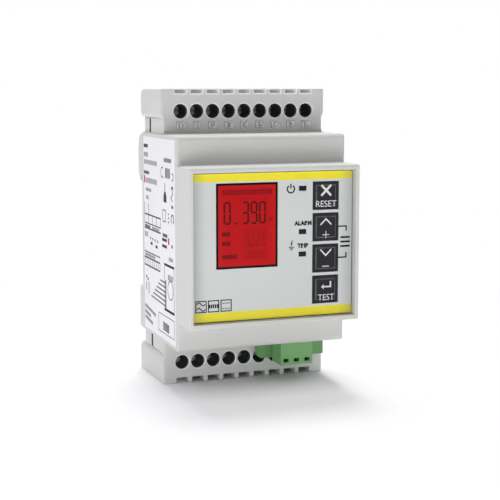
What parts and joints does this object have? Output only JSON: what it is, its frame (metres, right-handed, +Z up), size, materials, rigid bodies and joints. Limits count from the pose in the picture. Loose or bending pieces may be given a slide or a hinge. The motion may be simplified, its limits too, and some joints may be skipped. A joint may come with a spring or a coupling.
{
  "type": "protection relay",
  "caption": "Rail-mounted protection relay with stepped grey housing, red display, keys, screw terminals and a green plug-in connector.",
  "frame": {"origin": "middle of the rail seat, where the front faces of the rail's flanges rest", "axes": "+X along the rail, to the right seen from the front; +Y into the rail; +Z up"},
  "size_m": [0.0531, 0.053, 0.09],
  "materials": {
    "housing_plastic": "fine matt moulded texture",
    "black_plastic": "matt moulded",
    "label_film": "printed film",
    "panel_plastic": "smooth moulded",
    "panel_film": "satin printed film",
    "display_plastic": "clear window over a red lit display",
    "display_glass": "smooth",
    "white_plastic": "smooth moulded",
    "lens_plastic": "smooth",
    "key_plastic": "satin with printed signs",
    "circuit_board": "solder resist",
    "steel": "zinc plated",
    "brass": "plain",
    "core_iron": "laminated",
    "copper_winding": "enamelled wire",
    "relay_plastic": "smooth moulded",
    "green_plastic": "satin moulded"
  },
  "bodies": {
    "housing": {"rear_housing": "housing_plastic", "upper_terminal_cover": "housing_plastic", "lower_terminal_cover": "housing_plastic", "front_cover": "housing_plastic", "side_label": "label_film", "front_panel": "panel_plastic", "panel_overlay": "panel_film", "display_window": "display_plastic", "lcd_glass": "display_glass", "backlight": "white_plastic", "key_switches": "black_plastic", "power_lens": "lens_plastic", "alarm_lens": "lens_plastic", "trip_lens": "lens_plastic", "status_leds": "white_plastic", "display_board": "circuit_board", "logic_board": "circuit_board", "main_board": "circuit_board", "display_link": "black_plastic", "power_link": "black_plastic", "board_spacers": "steel", "board_screws": "steel", "processor": "black_plastic", "transformer_core": "core_iron", "transformer_coil": "copper_winding", "trip_relay": "relay_plastic", "alarm_relay": "relay_plastic", "supply_capacitor": "black_plastic", "upper_terminal_block": "black_plastic", "lower_terminal_block": "black_plastic", "terminal_screws": "steel", "clamp_cages": "brass", "connector_header": "green_plastic", "header_pins": "brass"},
    "reset": {"reset_key": "key_plastic", "reset_plunger": "white_plastic"},
    "up": {"up_key": "key_plastic", "up_plunger": "white_plastic"},
    "down": {"down_key": "key_plastic", "down_plunger": "white_plastic"},
    "test": {"test_key": "key_plastic", "test_plunger": "white_plastic"},
    "clip": {"rail_clip": "black_plastic"},
    "plug": {"connector_plug": "green_plastic", "plug_clamps": "steel", "plug_screws": "steel"}
  },
  "joints": [
    {"name": "reset_press", "type": "slide", "parent": "housing", "child": "reset", "axis": [0, 1, 0], "range_m": [0, 0.00035], "stiffness_N_per_m": 3000},
    {"name": "up_press", "type": "slide", "parent": "housing", "child": "up", "axis": [0, 1, 0], "range_m": [0, 0.00035], "stiffness_N_per_m": 3000},
    {"name": "down_press", "type": "slide", "parent": "housing", "child": "down", "axis": [0, 1, 0], "range_m": [0, 0.00035], "stiffness_N_per_m": 3000},
    {"name": "test_press", "type": "slide", "parent": "housing", "child": "test", "axis": [0, 1, 0], "range_m": [0, 0.00035], "stiffness_N_per_m": 3000},
    {"name": "clip_slide", "type": "slide", "parent": "housing", "child": "clip", "axis": [0, 0, -1], "range_m": [0, 0.003], "stiffness_N_per_m": 2500},
    {"name": "plug_pull", "type": "slide", "parent": "housing", "child": "plug", "axis": [0, 0, -1], "range_m": [0, 0.0045]}
  ]
}
